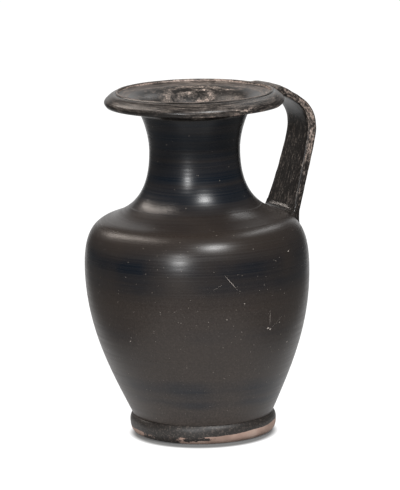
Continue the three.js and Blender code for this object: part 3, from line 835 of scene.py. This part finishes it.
for i, (a, o) in enumerate(zip(across, out)):
    start = np.array(strap_root) + np.array([-down[1], down[0]]) * o

    ridge = 1 + 0.35 * noise.noise(Vector((a / 4, o / 3, 11)))
    top = start - down * flange_rise * ridge
    reach = max(1e-6, math.hypot(a / root_width, o / root_depth))
    side_a = a / reach / root_width
    side_o = o / reach / root_depth
    inner_side = 1 + 1.6 * np.clip(-side_o, 0, 1)
    spread = flange_spread * (1 + 0.4 * noise.noise(Vector((a / 5, o / 2, 23)))) * inner_side
    foot_rho = start[0] + side_o * spread
    foot_a = a + side_a * spread
    foot_z = on_shoulder(foot_rho, foot_a)
    touch = np.array([start[0], a, on_shoulder(start[0], a)])
    first = np.array([top[0], a, max(top[1], touch[2] + 0.8)])
    last = np.array([foot_rho, foot_a, foot_z - 0.15])
    inner = np.array([start[0] - (start[0] - root_radius) * 0.5, a * 0.9, touch[2] - 1.0])
    path = []
    for t in np.linspace(0, 1, 17):
        ridge = 0.32 * math.sin(t * 5 * math.pi + 0.5 * math.sin(a / 3)) * math.sin(math.pi * t)
        path.append((1 - t) ** 2 * first + 2 * (1 - t) * t * touch + t * t * last + np.array([0, 0, ridge]))
    sunk = last - np.array([0, 0, 1.2])
    top_inner = np.array([first[0] * 0.5 + root_radius * 0.5, a * 0.93, first[2] - 0.2])
    for row, place in zip(flange_rows, [top_inner, *path, sunk, inner]):
        row.append(stand(0, 0, np.array(place[2])) + np.array([place[0], place[1], 0]) * MM)
flange_rows.append(flange_rows[0])
flange = skinned("handle_root_smear", [np.array(row) for row in flange_rows], closed_ends=False)
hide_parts("handle_root_slip")
dress(flange, worn)
paint(flange, "wear_and_painted_light", np.full(len(flange.data.vertices), 0.14))
paint(flange, "rag", np.full(len(flange.data.vertices), 0.1))
rho, angle, z = round_axis(flange)
paint_grain(flange, np.stack([rho / 3, angle * 58, z / 3], 1))

# Slip under the upper end of the strap, over the foot and under the mouth: wet clay that luted the pieces.
# Only its edges show, as thin uneven lines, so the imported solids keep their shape.
for name in ("handle_rim_slip", "foot_slip", "mouth_slip"):
    thin_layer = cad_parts[name]
    thin_layer.data.materials.clear()
    thin_layer.data.materials.append(slip)

# Floor: a plain white studio ground that curves up far behind the jug. It glows evenly white to the camera;
# in reflections it gives back a painted pool of light round and behind the jug and a mid grey to the sides
# and in front, and a painted contact shadow darkens it close to the foot.
floor_half = 3.0
sweep_start = 1.6
sweep_radius = 1.5
rows = [(-floor_half, 0.0), (sweep_start, 0.0)]
rows += [
    (sweep_start + sweep_radius * math.sin(t), sweep_radius - sweep_radius * math.cos(t))
    for t in np.linspace(0.1, math.pi / 2, 14)
]
rows += [(sweep_start + sweep_radius, 4.0)]
camera_side = math.radians(31)
away = Vector((math.sin(camera_side), math.cos(camera_side), 0))
right = Vector((math.cos(camera_side), -math.sin(camera_side), 0))
ground = bpy.data.meshes.new("floor")
ground.from_pydata(
    [tuple(away * y + right * side * floor_half + Vector((0, 0, z))) for y, z in rows for side in (-1, 1)],
    [],
    [(2 * i, 2 * i + 1, 2 * i + 3, 2 * i + 2) for i in range(len(rows) - 1)],
)
ground.polygons.foreach_set("use_smooth", [True] * len(ground.polygons))
floor = bpy.data.objects.new("floor", ground)
bpy.context.scene.collection.objects.link(floor)
paper, tree, shader, where = new_material("floor_paper")
shader.inputs["Base Color"].default_value = (0.12, 0.12, 0.12, 1)
shader.inputs["Roughness"].default_value = 0.9
shader.inputs["Specular IOR Level"].default_value = 0.1
shader.inputs["Emission Color"].default_value = (1, 1, 1, 1)


def along_ground(direction):
    product = node(tree, "ShaderNodeVectorMath", operation="DOT_PRODUCT", i0=where, i1=tuple(direction))
    return product.outputs["Value"]


def fade(value, start, end, low, high):
    made = node(tree, "ShaderNodeMapRange", interpolation_type="SMOOTHSTEP")
    tree.links.new(value, made.inputs[0])
    for socket, number in zip(list(made.inputs)[1:5], (start, end, low, high)):
        socket.default_value = number
    return made.outputs[0]


# A painted pool of light: in reflections the floor glows bright in a strip round and behind the jug, widening
# further back, and dim to the sides and in front.
widening = maths(tree, "MULTIPLY", maths(tree, "MAXIMUM", along_ground(away), 0.0), 0.35)
sideways = maths(tree, "SUBTRACT", maths(tree, "ABSOLUTE", along_ground(right)), widening)
painted_light_pool = maths(tree, "MULTIPLY", fade(along_ground(away), -0.28, -0.15, 0, 1), fade(sideways, 0.1, 0.17, 1, 0))
# A painted contact shadow: near dims the floor's glow to a tenth in a disc round the foot, shifted towards the
# camera.
painted_shadow_centre_offset = node(tree, "ShaderNodeVectorMath", operation="ADD", i0=where,
                      i1=tuple(away * 0.0065 - Vector((axis_x, axis_y, 0)) * MM)).outputs[0]
painted_shadow_reach = node(tree, "ShaderNodeVectorMath", operation="LENGTH", i0=painted_shadow_centre_offset).outputs["Value"]
near = fade(painted_shadow_reach, 0.039, 0.0445, 0.1, 1.0)
given_back = maths(tree, "ADD", maths(tree, "MULTIPLY", painted_light_pool, 0.7), 0.06)
seen = node(tree, "ShaderNodeLightPath").outputs["Is Camera Ray"]
glow = maths(tree, "MULTIPLY", maths(tree, "MAXIMUM", given_back, seen), near)
tree.links.new(glow, shader.inputs["Emission Strength"])
floor.data.materials.append(paper)

# Light: a dim room that looks white, two strip lamps in front, and two to the sides and behind, which draw
# the long highlights on the shoulder and the neck.
world = bpy.data.worlds.new("studio")
bpy.context.scene.world = world
world.use_nodes = True
world.node_tree.nodes["Background"].inputs["Color"].default_value = (1, 1, 1, 1)
seen = node(world.node_tree, "ShaderNodeLightPath").outputs["Is Camera Ray"]
brightness = maths(world.node_tree, "MAXIMUM", seen, 0.12)
world.node_tree.links.new(brightness, world.node_tree.nodes["Background"].inputs["Strength"])


def soft_box(name, first_end, second_end, breadth, power, colour=(1, 1, 1), distance=1.4):
    """A strip lamp between two directions: each an azimuth to the right of the camera, and a height."""
    middle = Vector((0, 0, 0.12))
    ends = []
    for azimuth, elevation in (first_end, second_end):
        a, e = math.radians(azimuth), math.radians(elevation)
        flat = right * math.sin(a) * math.cos(e) - away * math.cos(a) * math.cos(e)
        ends.append(middle + distance * (flat + Vector((0, 0, math.sin(e)))))
    place = (ends[0] + ends[1]) / 2
    backwards = (place - middle).normalized()
    long_way = (ends[1] - ends[0]).normalized()
    lamp = bpy.data.lights.new(name, "AREA")
    lamp.shape = "RECTANGLE"
    lamp.size, lamp.size_y = (ends[1] - ends[0]).length, breadth
    lamp.energy = power
    lamp.color = colour
    thing = bpy.data.objects.new(name, lamp)
    bpy.context.scene.collection.objects.link(thing)
    short_way = backwards.cross(long_way)
    thing.matrix_world = Matrix((long_way, short_way, backwards)).transposed().to_4x4()
    thing.matrix_world.translation = place


soft_box("front_high", (12, 46), (34, 47), 0.22, 17)
soft_box("front_low", (-18, 8), (-18, 22), 0.11, 10)
soft_box("left_rear", (-130, 28), (-74, 62), 0.14, 8, (1, 0.9, 0.82))
soft_box("right_rear", (112, 62), (150, 34), 0.14, 2.2)

# Camera: a long lens from the photo's side, about 11 degrees above the table.
camera = bpy.data.objects.new("camera", bpy.data.cameras.new("camera"))
bpy.context.scene.collection.objects.link(camera)
camera_distance = 2158.3
camera_height = 526.3
pitch = math.radians(10.945)
roll = -0.0198
forward = away * math.cos(pitch) - Vector((0, 0, math.sin(pitch)))
up = away * math.sin(pitch) + Vector((0, 0, math.cos(pitch)))
tilted_right = (right + up * roll).normalized()
tilted_up = (up - right * roll).normalized()
place = Vector((axis_x, axis_y, 0)) * MM - away * camera_distance * MM + Vector((0, 0, camera_height * MM))
camera.matrix_world = Matrix((
    (tilted_right.x, tilted_up.x, -forward.x, place.x),
    (tilted_right.y, tilted_up.y, -forward.y, place.y),
    (tilted_right.z, tilted_up.z, -forward.z, place.z),
    (0, 0, 0, 1),
))
camera.data.sensor_width = 36
camera.data.lens = 279.25
camera.data.clip_end = 50
bpy.context.scene.camera = camera
bpy.context.scene.view_settings.view_transform = "Standard"
bpy.context.scene.view_settings.look = "None"
